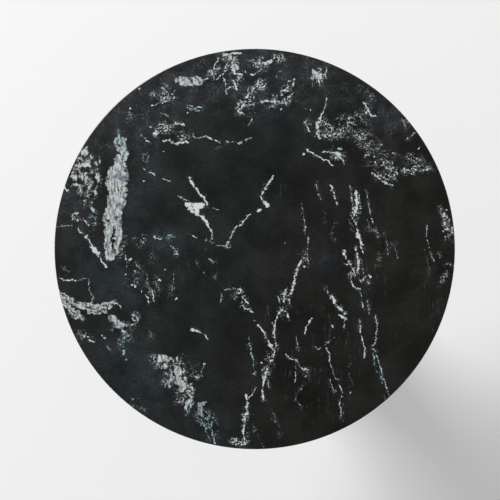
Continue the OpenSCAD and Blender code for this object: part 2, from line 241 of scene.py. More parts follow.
VEINS = (
    # Upper left: horizontal vein and its branches
    (MIDDLE, 0.75, ((-46, 54), (-43, 54), (-40.5, 52.5), (-33, 53))),
    (FINE, 0.45, ((-37, 54), (-32, 55.5), (-30.5, 57))),
    (FINE, 0.6, ((-31, 56.5), (-29, 55), (-24, 56), (-18, 54), (-16.5, 53))),
    (HAIR, 0.6, ((-15.5, 54.5), (-13.5, 53.5), (-10, 53.5), (-8, 52.5), (-2, 55.5))),
    (HAIR, 0.3, ((-17, 52), (-19.5, 50))),
    (FINE, 0.55, ((-47, 68), (-44, 66.5), (-42.5, 64))),
    (MIDDLE, 0.7, ((-40, 63), (-35, 62))),
    (FINE, 0.55, ((-49, 60), (-48, 63), (-45, 63.5))),
    (FINE, 0.75, ((-51.5, 72), (-48, 73), (-44, 73.5), (-40.5, 75), (-40, 79))),
    (HAIR, 0.6, ((-57, 57), (-54, 54.5), (-51.5, 52.5))),
    (HAIR, 0.8, ((-55.5, 40.5), (-49.5, 37.5))),
    (HAIR, 0.8, ((-45.5, 35.5), (-42, 34))),
    (FINE, 0.45, ((-64, 64.5), (-62.5, 68), (-61, 65))),
    # Top: ribbon, knots and a hook
    (MIDDLE, 0.65, ((-25, 84), (-21, 86.5), (-20.5, 91), (-18, 94.5))),
    (FINE, 0.6, ((-19, 84.5), (-16, 87.5))),
    (FINE, 0.6, ((-15.5, 88), (-15, 82), (-14.5, 77))),
    (MIDDLE, 0.8, ((-14.5, 80), (-12, 81.5), (-9, 79.5), (-11, 85))),
    (MIDDLE, 0.8, ((-12, 92), (-10, 88), (-7, 87), (-5, 88.5))),
    (FINE, 0.65, ((-10, 85), (-7, 85.5), (-5.5, 88))),
    (MIDDLE, 0.85, ((-15, 96.5), (-12, 97.5), (-7, 98))),
    (FINE, 0.6, ((0, 96), (3, 91.5), (4.5, 93))),
    (MIDDLE, 0.9, ((4.5, 92.5), (8, 93), (10, 95.5))),
    (FINE, 0.6, ((-2, 87), (0, 87), (3.5, 90))),
    (MIDDLE, 0.8, ((2, 84), (1, 80), (5, 81))),
    (FINE, 0.8, ((-2, 79), (-3.5, 76.5), (-4.5, 73.5), (-6.5, 70.5))),
    (FINE, 0.8, ((-8.5, 72.5), (-6, 73.5))),
    (FINE, 0.8, ((-9, 69), (-5, 67.5))),
    (FINE, 0.5, ((-2, 70.5), (0, 70))),
    (FINE, 0.5, ((-1.5, 65), (-4, 61.5))),
    (FINE, 0.75, ((15.5, 82), (16.5, 84), (19.5, 84.5), (18.5, 81.5))),
    (FINE, 0.75, ((13, 79), (15.5, 79.5), (18, 78.5))),
    (FINE, 0.8, ((17.5, 76.5), (14.5, 75.5), (15, 73), (12.5, 72.5), (11, 75.5))),
    (BROAD, 0.95, ((3, 72.5), (5.5, 73.5), (10, 73.5))),
    (FINE, 0.65, ((4.5, 71.5), (7, 70.5), (9, 71))),
    # Upper right: line into the crackled field, and the wing below it
    (HAIR, 0.55, ((36.5, 80), (35.5, 74), (35.2, 70))),
    (FINE, 0.85, ((35.2, 70), (33.5, 67.5), (32, 64.5))),
    (BROAD, 0.7, ((32.5, 65), (31, 62), (31, 57), (32.5, 55))),
    (FINE, 0.75, ((25, 64), (26.5, 61), (27.5, 58.5))),
    (MIDDLE, 0.7, ((29, 89), (30.5, 87), (32, 85), (32.5, 82))),
    (FINE, 0.6, ((31.5, 90.5), (34, 88.5))),
    (FINE, 0.6, ((36, 90), (35.5, 86.5), (34, 85))),
    (FINE, 0.45, ((29, 84.5), (29, 81))),
    (FINE, 0.7, ((43, 60), (42.5, 57.5), (41, 56))),
    (FINE, 0.6, ((35.5, 57), (35.5, 54.5))),
    (HAIR, 0.6, ((52.5, 59), (50, 56.5))),
    (FINE, 0.85, ((25.5, 50.5), (29, 48), (31, 46.5), (37, 43.5), (39, 41))),
    (FINE, 0.65, ((34, 48.5), (40, 48.5), (43.5, 44.5))),
    (FINE, 0.7, ((42, 47), (44, 44), (44.5, 42))),
    (MIDDLE, 0.75, ((54.5, 73), (56, 70), (58.5, 66), (61.5, 66))),
    # Right edge: arc of crackle, and lines near the rim
    (MIDDLE, 0.65, ((58, 37.5), (61, 36), (63.5, 33.5), (69, 32))),
    (FINE, 0.6, ((61, 38), (64, 35.5), (67.5, 34), (69, 34.5), (70.5, 38.5))),
    (BROAD, 0.5, ((73, 39.5), (80, 39), (87, 40.5), (90, 39))),
    (FINE, 0.65, ((76, 55), (79.5, 57.5))),
    (FINE, 0.5, ((73, 65), (75, 62))),
    (FINE, 0.6, ((55, 46.5), (57.5, 47), (58, 49.5))),
    (FINE, 0.5, ((62, 50), (63.5, 52.5))),
    (MIDDLE, 0.45, ((93, 20), (94.5, 13), (97.5, 12), (99.5, 5))),
    (FINE, 0.5, ((94.5, 9), (95.5, 3))),
    (HAIR, 0.62, ((86, 12.5), (85.5, 7), (88, -3), (89.5, -6.5))),
    (HAIR, 0.3, ((84.5, 0), (86, -5), (86.5, -13))),
    (FINE, 0.5, ((95, -7), (99.5, -8.5))),
    (FINE, 0.4, ((93, -14), (92.5, -19))),
    (HAIR, 0.4, ((91.5, -1), (92.5, -5))),
    (HAIR, 0.4, ((70, 0), (71.5, -5))),
    (HAIR, 0.4, ((56, 15), (58, 9))),
    (HAIR, 0.38, ((60, 10), (62.5, 4.5), (63.5, 0))),
    (HAIR, 0.38, ((64.5, 8), (66, 3), (66.5, -3))),
    (HAIR, 0.32, ((62.5, -1), (61.5, -8))),
    (HAIR, 0.3, ((40.5, 12), (38.5, 9), (39.5, 5))),
    # Right: long dashed vein
    (FINE, 0.6, ((48, 32), (48, 26), (50, 21))),
    (BROAD, 0.95, ((50.5, 28.5), (50.5, 20), (49.5, 16.5))),
    (FINE, 0.8, ((48, 17), (49.5, 13))),
    (FINE, 0.5, ((52.2, 28), (52.2, 25))),
    (HAIR, 0.35, ((46, 17), (49, 10))),
    (HAIR, 0.55, ((56, 28.5), (57, 22), (59, 13))),
    (FINE, 0.75, ((50, 13), (51.2, 9), (53, 2), (54, -2))),
    (MIDDLE, 0.85, ((50.3, 0), (51.2, -5), (51.7, -13))),
    (HAIR, 0.45, ((52, -4), (54, -9), (54.5, -14))),
    (MIDDLE, 0.8, ((44.5, -1), (46, -5), (49, -9), (50, -13))),
    (FINE, 0.8, ((44.5, -7.5), (46.5, -8))),
    (FINE, 0.75, ((48, -16), (50, -19.5), (52.5, -20.5))),
    (FINE, 0.75, ((52.2, -15), (53.5, -17), (55.5, -14))),
    (FINE, 0.65, ((53, -22), (54, -27), (55, -31))),
    (FINE, 0.55, ((56.5, -16), (57, -19))),
    (FINE, 0.5, ((56.5, -26), (57.5, -33))),
    (FINE, 0.75, ((38, 32), (39.5, 27), (41, 22.5))),
    (HAIR, 0.5, ((30.5, 33.5), (31.2, 29), (33, 24))),
    (HAIR, 0.35, ((35, 17.5), (35.5, 13))),
    # Right, lower: bright stroke and fine lines down to the rim
    (FINE, 0.65, ((36, -19), (36.8, -22), (38.5, -23.5))),
    (BROAD, 0.95, ((38.5, -23.5), (41, -28), (45, -32))),
    (MIDDLE, 0.9, ((42, -33), (46, -35))),
    (FINE, 0.7, ((45, -35.5), (45, -39))),
    (FINE, 0.75, ((28.5, -34.5), (26.5, -37.5), (25, -42.5))),
    (FINE, 0.75, ((52.3, -35.5), (52.5, -42), (55, -50), (55, -54))),
    (FINE, 0.6, ((60.5, -33), (61.5, -40), (60, -47.5), (58.5, -48))),
    (FINE, 0.65, ((59, -50), (60, -56), (61, -62))),
    (FINE, 0.6, ((60, -50), (62.5, -57), (63.5, -62.5), (67, -73))),
    (FINE, 0.55, ((63, -62), (63.5, -67))),
    (HAIR, 0.4, ((64.5, -73), (65.5, -76))),
    (HAIR, 0.7, ((35, -48), (37, -52), (38, -58), (40.5, -65), (42, -65))),
    (HAIR, 0.5, ((30, -48.5), (32, -50), (35, -47.5), (40, -44))),
    (FINE, 0.6, ((42, -67), (44, -72), (42.5, -76), (43, -84))),
    (HAIR, 0.5, ((37.5, -65), (39.5, -70), (41, -72))),
    (HAIR, 0.35, ((44, -77), (44.5, -87))),
    (HAIR, 0.3, ((47, -58), (47, -63), (49, -68))),
    (FINE, 0.65, ((15.5, -52), (17, -54.5), (21, -56), (24, -60), (26.5, -60.5))),
    (FINE, 0.5, ((20.5, -56), (20.5, -62), (20, -66))),
    (HAIR, 0.45, ((26.5, -61), (24, -67), (23, -70))),
    (HAIR, 0.45, ((21.5, -77.5), (25, -79.5))),
    (HAIR, 0.45, ((21, -73), (20.5, -76))),
    (HAIR, 0.45, ((21, -44), (21, -50))),
    # Middle: line from the upper right to the lower rim
    (HAIR, 0.55, ((23.5, 23), (25, 15), (25, 8))),
    (FINE, 0.55, ((26.5, 6), (26, -2), (26.5, -7.5))),
    (MIDDLE, 0.85, ((23.5, -5), (21.5, -9), (19.5, -17), (18, -22))),
    (MIDDLE, 0.7, ((16, -19), (15, -22), (14.5, -29))),
    (FINE, 0.55, ((12, -24), (13, -27.5))),
    (FINE, 0.6, ((17, -24), (18.5, -29))),
    (FINE, 0.8, ((14, -30.5), (11, -34), (10, -38), (9.5, -42), (11.5, -50))),
    (MIDDLE, 0.75, ((15.5, -31), (17, -34.5))),
    (FINE, 0.6, ((8.5, -37), (10, -38))),
    (MIDDLE, 0.9, ((2, -38), (5.5, -42.5))),
    (FINE, 0.8, ((6, -44), (10, -51), (9, -55), (6.5, -57.5))),
    (MIDDLE, 0.85, ((6, -60), (5.5, -64), (4, -67), (4, -75))),
    (FINE, 0.65, ((4, -60), (4, -65))),
    (FINE, 0.6, ((7.5, -62), (7, -69))),
    (FINE, 0.65, ((0.5, -69.5), (-2.5, -75))),
    (MIDDLE, 0.8, ((-4, -72.5), (-3.5, -77), (-5, -85), (-5.5, -90), (-5, -99))),
    (FINE, 0.7, ((-8.5, -94.5), (-10, -96.5), (-9, -98.5), (-5, -97.5))),
    (MIDDLE, 0.52, ((-3, -44.5), (-1, -55), (0, -63))),
    (HAIR, 0.3, ((6.5, -30), (6.5, -37))),
    (HAIR, 0.3, ((6, -76), (8, -80), (9, -86))),
    (HAIR, 0.35, ((10, -83), (12.5, -89), (12, -95))),
    (HAIR, 0.35, ((-2, -85), (0, -90), (4.5, -99))),
    # Middle, left arm
    (FINE, 0.55, ((-17.5, -27), (-16, -22), (-14.5, -20), (-12, -20))),
    (MIDDLE, 0.75, ((-10.5, -19.5), (-7.5, -20), (-6, -21))),
    (MIDDLE, 0.75, ((-9.5, -21.5), (-7.5, -22))),
    (FINE, 0.8, ((-7, -23.5), (-3.5, -27.5))),
    (FINE, 0.7, ((-7, -28.5), (-3, -30), (-1, -31.5))),
    (FINE, 0.8, ((0, -35.5), (1.2, -36))),
    # Middle, upper
    (MIDDLE, 0.9, ((9, 36), (6, 32), (5, 29.5), (3.5, 28))),
    (MIDDLE, 0.8, ((2.5, 26.5), (4.5, 23.5))),
    (MIDDLE, 0.75, ((-2, 18), (-7, 12), (-9, 11), (-12, 5.5), (-14, 2))),
    (HAIR, 0.55, ((-24, 4.5), (-19, 2), (-12, 1))),
    (HAIR, 0.65, ((-33.5, 8), (-29, 6))),
    (HAIR, 0.6, ((-21.5, 20.5), (-18, 20))),
    (HAIR, 0.6, ((-38.5, 26.5), (-33, 24.5))),
    (MIDDLE, 0.9, ((-33, 35.5), (-30, 31), (-25.5, 26), (-23.5, 22))),
    (1.6, 1.8, ((-33.8, 22.4), (-26.2, 22), (-28.5, 20), (-32.2, 20.4))),
    (1.4, 1.7, ((-31.2, 18.8), (-28, 18.2))),
    (BROAD, 1.3, ((-29, 17.2), (-26.2, 15.8), (-23.6, 12.5))),
    (MIDDLE, 1.2, ((-23.6, 12.5), (-21.6, 8.5))),
    (FINE, 0.9, ((-21.5, 9), (-21, 5))),
    (FINE, 0.65, ((-23, -4.5), (-20, -7))),
    (HAIR, 0.35, ((-18.5, -10), (-20, -14))),
    # Left: diagonal, arcs and dashes
    (FINE, 0.8, ((-84, 6.5), (-80, 1), (-78, -2))),
    (MIDDLE, 1.1, ((-95.5, 31.2), (-93.5, 29.2))),
    (MIDDLE, 0.8, ((-78, -2), (-76, -6), (-74, -8.5))),
    (FINE, 0.6, ((-88, 10), (-86.5, 8))),
    (HAIR, 0.5, ((-99, 11), (-91, 11.5))),
    (FINE, 0.7, ((-91, 14.5), (-90.5, 17.5), (-88, 18))),
    (FINE, 0.65, ((-89, 14), (-87, 15.5))),
    (FINE, 0.6, ((-86, 15.5), (-84, 13), (-83.2, 11.5))),
    (HAIR, 0.35, ((-96, -9.5), (-92, -12))),
    (HAIR, 0.6, ((-97, -14.5), (-95, -15.5), (-88, -15.5), (-84, -14))),
    (HAIR, 0.6, ((-83, -15), (-82.5, -20), (-81, -24), (-81, -27))),
    (FINE, 0.7, ((-98.5, -20), (-95, -22.5), (-91, -25))),
    (MIDDLE, 0.6, ((-95, -28), (-90, -31), (-86, -35))),
    (FINE, 0.45, ((-93, -32), (-89.5, -35))),
    (FINE, 0.55, ((-89, -26.5), (-84.5, -27))),
    (FINE, 0.7, ((-70, -27.5), (-68.5, -27), (-66.5, -29.5))),
    (FINE, 0.8, ((-62, -37.8), (-58, -37))),
    (FINE, 0.6, ((-66.5, -38), (-63, -39))),
    (FINE, 0.6, ((-76.5, -43), (-75, -45))),
    (HAIR, 0.45, ((-74, -48), (-72, -51))),
    (FINE, 0.7, ((-82, -45.5), (-80, -46.5))),
    (FINE, 0.85, ((-54, -23), (-53, -27))),
    (FINE, 0.85, ((-51, -21), (-50.5, -26))),
    (HAIR, 0.45, ((-53.5, -12), (-53, -20))),
    (HAIR, 0.45, ((-40, -12), (-41, -20))),
    (FINE, 0.55, ((-64.5, -3), (-64, -9))),
    (FINE, 0.7, ((-63.5, -18.5), (-61, -17.5))),
    (FINE, 0.6, ((-50, 6.5), (-46, 5))),
    (FINE, 0.65, ((-40.5, 1), (-38.5, -3))),
    (FINE, 0.45, ((-57.5, 3), (-56, 7))),
    # Lower left: stroke, and streaks below the clouds
    (MIDDLE, 0.85, ((-31.5, -40.5), (-28, -41.5), (-25, -42.5), (-23.8, -44.5))),
    (HAIR, 0.5, ((-25, -57.5), (-27, -63))),
    (FINE, 0.6, ((-40, -57), (-34.5, -57.2))),
    (FINE, 0.5, ((-27, -87), (-23.5, -93), (-22.5, -97))),
    (FINE, 0.5, ((-21.5, -85), (-21.5, -90), (-20, -97))),
    (HAIR, 0.45, ((-61, -75.5), (-58, -74.5))),
    (HAIR, 0.4, ((-62, -78), (-55, -80))),
)

# Single flecks
FLECKS = (
    (5.7, 22.5, 2.6, 1.7, -50, 1.4),
    (2.2, 19.2, 1.8, 1.1, 20, 1.1),
    (-62, 70.5, 1, 0.8, 90, 1),
    (-57.5, 80, 1, 0.8, 0, 0.7),
    (-65, 73.5, 0.8, 0.7, 0, 0.7),
    (-44.5, 59, 1.8, 0.8, 40, 1.2),
    (-45.5, 49, 0.9, 0.7, 0, 0.8),
    (-55.5, 34.4, 1.4, 0.7, 10, 0.8),
    (12.5, 89, 0.9, 0.7, 20, 0.7),
    (10.5, 86.2, 0.7, 0.6, 0, 0.6),
    (24.5, 47.5, 1.2, 0.8, 40, 0.8),
    (13, 70, 0.9, 0.7, 0, 0.7),
    (28, 70, 0.9, 0.7, 60, 0.7),
    (25.5, 70.3, 1, 0.6, 40, 0.5),
    (47, 65.2, 1, 0.7, 80, 0.9),
    (55, 46.5, 1.3, 1, 0, 0.8),
    (60, 43.2, 0.8, 0.7, 0, 0.9),
    (59.5, 46, 1, 0.7, 60, 0.7),
    (69, 48, 1, 0.6, 40, 0.7),
    (82, 50.5, 1.1, 0.7, 30, 0.8),
    (96, 20, 1, 0.8, 0, 0.8),
    (52, 6.5, 3, 1.6, -65, 1.2),
    (53.2, 2.8, 1.8, 1.3, -80, 1.2),
    (44.7, -2.2, 2.2, 1.2, -80, 1),
    (57.6, -14, 1.2, 0.9, 0, 1.1),
    (39, -38.5, 1.4, 0.8, 80, 0.8),
    (47.5, -72.2, 0.9, 0.8, 0, 0.8),
    (47.5, -69, 1, 0.6, 30, 0.6),
    (15.5, 3, 1, 0.6, -60, 0.6),
    (24.5, -9.2, 1.3, 0.8, -20, 0.9),
    (8, -47.5, 2, 1.5, -40, 1.3),
    (3.2, -57, 0.9, 0.8, 0, 1),
    (-4, -82, 2.2, 1.3, 80, 1.1),
    (-25, -57.5, 0.9, 0.8, 0, 0.8),
    (-25.5, -12, 1.4, 0.9, -70, 0.8),
    (-24.2, 0, 1.3, 0.8, 90, 0.5),
    (-39, -24.5, 1, 0.8, 70, 1),
    (-45, -10.3, 0.9, 0.7, 0, 0.8),
    (-47.5, -15, 0.8, 0.7, 0, 0.9),
    (-56.5, -21.5, 1.2, 0.7, -60, 0.7),
    (-60, -18.5, 1.2, 0.9, 90, 0.9),
    (-64.2, -12.6, 0.9, 0.7, 0, 0.9),
    (-60, -11.2, 1, 0.7, 0, 0.7),
    (-62.2, -5, 1.4, 1, 20, 1),
    (-84, 6.2, 1.2, 1, 0, 1.3),
    (-79.5, -1, 5, 1.2, -52, 1.3),
    (-66, -40.8, 1.2, 0.9, 0, 1.1),
    (-65.5, -51.5, 2.2, 1.3, 80, 0.9),
    (-64.5, -54.5, 1.2, 0.8, 60, 0.7),
    (-83, -44, 0.9, 0.7, 30, 0.9),
    (-80.5, 19.5, 2.8, 1.8, -60, 0.8),
    (-31.5, 71.2, 1.6, 0.7, -10, 0.9),
    (-27, 70.5, 1.8, 0.8, -10, 0.9),
    (-33.2, 67.8, 1, 0.7, 90, 0.7),
    (-52, 61.2, 1.2, 1, 0, 0.7),
    (-49.5, 57.5, 2.6, 1.8, 60, 1),
    (42, 47.5, 2.6, 1.8, -30, 1),
    (42.5, 50.2, 2.2, 1, 0, 0.8),
)

# Fields of lace
LACE = (
    (-45.5, 77.5, 8.5, 6.5, 10, 1.25),
    (-45, 60, 11, 6, 15, 0.8),
    (-38, 57, 9, 6, 0, 0.6),
    (-29.5, 70.5, 6, 2.4, -5, 1.2),
    (-64, -44, 9, 5, 60, 0.8),
    (-20.5, 88, 8.5, 4, 55, 1),
    (-11.5, 93, 9.5, 6.5, 80, 1.1),
    (-8.5, 85, 6.5, 4, 0, 0.9),
    (2, 93, 8, 5, -20, 0.8),
    (10.5, 95.5, 7, 4, 5, 1),
    (2, 81, 7, 5, 20, 1.1),
    (-4.5, 73, 11, 5.5, 55, 1),
    (-2, 68, 9, 6, 0, 0.5),
    (10, 73.5, 10, 4.5, 5, 1),
    (15.5, 77.5, 7, 4.5, 70, 1),
    (32.5, 87, 6.5, 6, 0, 1),
    (26.5, 63, 9, 3, 80, 0.6),
    (37.5, 60, 11, 8, 0, 1.05),
    (47, 62, 14, 10, 10, 0.75),
    (42, 47, 6, 5, -20, 0.9),
    (55, 55.5, 14, 8.5, -50, 0.75),
    (57, 69, 8, 5.5, -40, 0.6),
    (65, 43, 12, 9.5, 0, 0.75),
    (66, 35, 11, 4, -15, 0.8),
    (80.5, 39.2, 13, 3.6, 5, 1.5),
    (79, 45, 11, 6, 0, 0.5),
    (75.5, 63.5, 6, 4, -50, 0.6),
    (59, 78, 6, 5, -60, 0.6),
    (95.5, 12, 11, 4, -75, 0.6),
    (95, -13, 12, 4.5, 85, 0.45),
    (67, 3, 13, 6, -70, 0.3),
    (50.8, 20.5, 11, 2.6, 85, 1),
    (49, -12.5, 7, 3.2, -70, 0.8),
    (25.5, -5, 7, 4.5, -80, 0.8),
    (15, -26, 11, 5, 80, 0.8),
    (6, -59, 11, 5, 80, 0.9),
    (-4.5, -85, 15, 3.5, 88, 0.8),
    (-8, -96.5, 6, 4.5, 0, 1),
    (-7, -25, 9, 4.5, -45, 0.9),
    (-66, -41, 9, 7, -20, 0.9),
    (-85, -44, 10, 4.5, -10, 0.65),
    (-59, -33.5, 3.6, 3.6, 0, 1),
    (-89, 16, 5, 4.5, 0, 0.7),
    (-83, 27, 13, 6, 80, 0.6),
    (-80, 14, 14, 4.5, 85, 0.45),
    (-57, 4.5, 7, 4.5, 60, 0.85),
    (-54.5, 45.5, 7, 2.5, 90, 0.7),
    (-43, 5.5, 7, 3, -10, 0.9),
    (-40, -0.5, 6, 2.5, -60, 0.8),
    (-30, -5, 6, 2.5, -60, 0.5),
    (-60, -12, 13, 7, 80, 0.48),
    (-51, -19, 13, 7.5, 80, 0.5),
    (-40, -20, 9, 5.5, 80, 0.45),
    (-50, -2, 11, 5, 50, 0.38),
    (-66, 2, 12, 4, 80, 0.5),
    (-34, -69, 16, 6, 65, 1),
    (-24, -87, 13, 6, -60, 1),
    (-48, -56, 8, 6, 0, 0.8),
    (-52, -43, 9, 3.6, -70, 0.35),
    (-34.5, -56, 6, 4.5, 0, 0.65),
)

# Pale patches with firm edges
PATCHES = (
    # Tall patch on the left, from its tip down to its two tails
    (1.6, 1.8, ((-65.5, 55.5), (-65.4, 45))),
    (1, 1.2, ((-68.8, 58.5), (-68.2, 50))),
    (3.8, 2.4, ((-67.6, 42.5), (-68, 40))),
    (5.4, 4, ((-68.8, 37), (-69.4, 23))),
    (4.4, 3, ((-70.2, 20), (-70.4, 13))),
    (2.6, 3, ((-72.9, 15), (-72.8, 2), (-72.2, -4))),
    (2, 2.5, ((-68.1, 12), (-68.4, 5), (-69.6, -2))),
    # Block and knots at the top
    (2.8, 2.5, ((-37.8, 84.5), (-33, 83.8), (-28, 84.5))),
    (1.6, 1.6, ((-15, 96.5), (-12, 95.5))),
    (1.4, 1.6, ((-11.5, 93), (-9.5, 90.5))),
    (1.5, 1.5, ((29.5, 88.5), (32, 86.5))),
    # Left: wing from the rim, and the band to its right
    (1.2, 1.5, ((-98.5, -20.7), (-95, -23.6), (-91.5, -26.2), (-88, -28.6), (-84, -30.2))),
    (0.9, 1.3, ((-97.5, -23.8), (-94, -26.8), (-90, -30), (-86.8, -35))),
    (0.8, 1.1, ((-96, -26.8), (-92.5, -30), (-88.5, -34.5))),
    (1.1, 1.5, ((-87, -27.8), (-82, -27.4), (-78, -28.2), (-73.5, -27), (-69.5, -26.2))),
    (1.2, 1.5, ((-84, -30.2), (-79, -30), (-74, -29.7), (-70.5, -28.5))),
    (0.9, 1.2, ((-83, -31.8), (-78, -32), (-74, -31.4))),
    (1.5, 1.8, ((-71.5, -34.5), (-67, -38.5))),
    # Lower left
    (2.2, 1.8, ((-38.5, -60), (-37.2, -66), (-36, -69))),
    (1.4, 1.4, ((-32, -73), (-34.2, -80))),
    (1.2, 1.4, ((-27.5, -77.5), (-26.4, -82))),
)

# Pale clouds with torn edges
CLOUDS = (
    (-67.2, 50, 9, 1.8, 86, 1.1),
    (-69, 54.5, 6, 1.4, 70, 0.8),
    (-87.4, 40, 13, 4.6, 62, 0.62),
    (-81.5, 35, 9, 4, 80, 0.5),
    (-90.5, 32, 4.5, 2.2, 40, 1.1),
    (-84.6, 50.8, 2.2, 1, 20, 1.1),
    (-85.8, 47.2, 4.2, 2.4, 50, 1.1),
    (-83.4, 43, 4.8, 2.6, 60, 1.2),
    (-89.6, 38.5, 4.4, 2.7, 60, 1.2),
    (-85, 36, 5, 2.4, 80, 1.1),
    (-82, 33.5, 6, 2, 85, 1),
    (-78.5, 37.5, 6, 1.8, 85, 0.9),
    (-79, 43.5, 3.6, 1.8, 70, 0.8),
    (-87.2, 30, 5, 2, 75, 0.8),
    (-80, 27, 6, 1.8, 80, 0.7),
    (-76.4, 32, 5, 1.2, 85, 0.6),
    (31.8, 61, 6, 2.2, 85, 0.8),
    (42, 47, 3.6, 1.8, -35, 0.8),
    (-40.5, -62, 13, 7.5, -50, 0.45),
    (-46, -56, 7, 4.5, 0, 1.1),
    (-37, -55, 3, 2.6, 60, 0.8),
    (-37.2, -64, 8, 3.6, 78, 1.1),
    (-43, -66, 5.4, 3.8, 70, 0.9),
    (-33.5, -70, 7, 3, 80, 0.8),
    (-32.8, -77.5, 8, 2.6, 70, 0.9),
    (-26.6, -80, 4.5, 2.2, 85, 0.9),
    (-21.5, -85.5, 5, 2.2, 70, 0.6),
    (95.2, 16.5, 6, 2.2, -75, 0.85),
    (96.8, 10.5, 5.5, 2.8, -60, 0.9),
)

# Dark gaps in the patches
GAPS = (
    (-70.4, 4.5, 8, 0.8, 88, 5),
    (-68, 29, 1.6, 0.8, 70, 5),
    (-73.5, 14, 1.4, 0.8, -60, 5),
    (-68.6, 15.5, 2, 0.8, 60, 4),
    (-67.2, 47.5, 3.2, 0.6, 80, 3),
    (-31.8, 84.5, 2.6, 0.7, -65, 4),
    (-29, 85, 2.2, 0.6, -60, 4),
)

# Lavender tint
LAVENDER = (
    (-66.5, 35.5, 5, 2, -22, 2.2),
    (-74, 23.5, 4, 2.2, 60, 0.8),
    (-43, -66.5, 5, 3.4, 0, 0.8),
)

# Fields of faint, nearly upright hairlines
HAIRLINES = (
    (33, -56, 46, 30, 80, 1),
    (56, -5, 50, 22, 84, 0.9),
    (88, -25, 32, 11, 85, 1),
    (15, 25, 30, 12, 80, 0.5),
    (-60, 53, 16, 5, 86, 1.3),
)

# Regions whose veins turn teal or blue
TEAL = (
    (-68, 56, 15, 11, 70, 1),
    (-80.5, 19, 6, 5, 0, 0.9),
    (-66, -48, 18, 16, 0, 1),
    (-23, -85, 20, 16, -60, 1),
    (-42, 2, 20, 14, -30, 1),
    (10, 74, 18, 9, 0, 0.7),
    (-30, 70, 12, 6, 0, 0.8),
    (54, -25, 12, 8, -80, 0.9),
    (63, -60, 22, 10, -70, 0.9),
    (-15, -22, 10, 8, 0, 0.8),
    (43, 51, 8, 5, 0, 0.8),
    (74, 33, 10, 5, 0, 0.8),
    (-21.5, 8, 10, 6, 70, 0.6),
    (-1, -54, 16, 5, -80, 1),
    (-54.5, 45.5, 9, 5, 90, 1),
)

# Regions whose ground is charcoal, which along the upper rim also stands for a painted sheen of reflected
# light, and blue-black
CHARCOAL_AND_SHEEN = (
    (-5, 98, 85, 42, 0, 1.2),
    (-60, 70, 50, 34, 45, 1.1),
    (60, 72, 40, 30, -45, 0.8),
    (-90, 20, 30, 20, 90, 0.7),
    (-35, -10, 30, 20, 0, 0.4),
)

BLUE_BLACK = (
    (-70, -16, 34, 16, -40, 1.1),
    (-58, 22, 26, 12, 80, 0.9),
    (-60, -62, 34, 22, -50, 1.1),
    (-42, 4, 24, 12, -20, 0.8),
    (-24, -88, 22, 16, -50, 0.8),
    (-52, 42, 20, 14, 90, 0.6),
    (10, 66, 24, 12, 10, 0.5),
    (36, -8, 16, 8, 80, 0.6),
)

# Where the ground is deepest black
DEEP = (
    (26, -52, 52, 32, 85, 1.2),
    (10, 36, 34, 20, 10, 0.8),
)

# Value of the veins well away from them
BESIDE = -1.6

# How far noise pushes the drawn shapes about: (noise scale, reach in radii, detail)
BEND = (9.0, 0.022, 2.0)
TEAR = (60.0, 0.022, 2.0)
WAVE = (20.0, 0.060, 3.0)
# How the veins lean on their way down through the slab
LEAN = (0.5, -0.3, -1.0)
# Texture spaces that are stretched along the stone's grain
FIBRE_STRETCH = (1.0, 0.35, 1.0)
UPRIGHT_STRETCH = (1.0, 0.07, 1.0)
# The way across the disc in which the ground turns warmer
WARMER = (0.8, -0.3, 0.0)

NEUTRAL_BLACK = (0.0105, 0.0122, 0.0116, 1.0)
WARM_BLACK = (0.0096, 0.0096, 0.0084, 1.0)
# The charcoal tone is a tint of the stone and, along the upper rim, a painted sheen of reflected light
CHARCOAL_AND_SHEEN_TONE = (0.0180, 0.0195, 0.0220, 1.0)
BLUE_TONE = (0.0145, 0.0190, 0.0215, 1.0)
PALE = (0.53, 0.58, 0.59, 1.0)
PALE_TEAL = (0.36, 0.47, 0.49, 1.0)
PALE_LAVENDER = (0.28, 0.265, 0.38, 1.0)
DIM = (0.080, 0.086, 0.084, 1.0)
DIM_TEAL = (0.048, 0.073, 0.078, 1.0)


def in_radii(values):
    """The tables' numbers as shares of the top's radius."""
    return [value / PARTS for value in values]


def shader_group(name, sockets):
    """An empty node group with these inputs and one number out. Gives its tree, graph and inputs."""
    tree = bpy.data.node_groups.new(name, "ShaderNodeTree")
    for socket, kind in sockets.items():
        tree.interface.new_socket(socket, in_out="INPUT", socket_type="NodeSocket" + kind)
    tree.interface.new_socket("Value", in_out="OUTPUT", socket_type="NodeSocketFloat")
    g = Graph(tree)
    return tree, g, g.node("NodeGroupInput").outputs


def segment_group():
    """Raises a running value to strength * (1 - distance / width) near one straight stretch."""
    tree, g, given = shader_group("vein_segment", {
        "Point": "Vector", "Start": "Vector", "Along": "Vector", "Inverse": "Vector",
        "Slope": "Float", "Strength": "Float", "Before": "Float",
    })
    from_start = g.vector("SUBTRACT", given["Point"], given["Start"])
    along = g.vector("DOT_PRODUCT", from_start, given["Inverse"])
    share = g.node("ShaderNodeClamp", {"Value": along}).outputs[0]
    sockets = {0: given["Along"], "Scale": share}
    nearest = g.node("ShaderNodeVectorMath", sockets, operation="SCALE").outputs[0]
    away = g.vector("DISTANCE", from_start, nearest)
    value = g.math("MULTIPLY_ADD", away, given["Slope"], given["Strength"])
    g.node("NodeGroupOutput", {"Value": g.math("MAXIMUM", value, given["Before"])})
    return tree


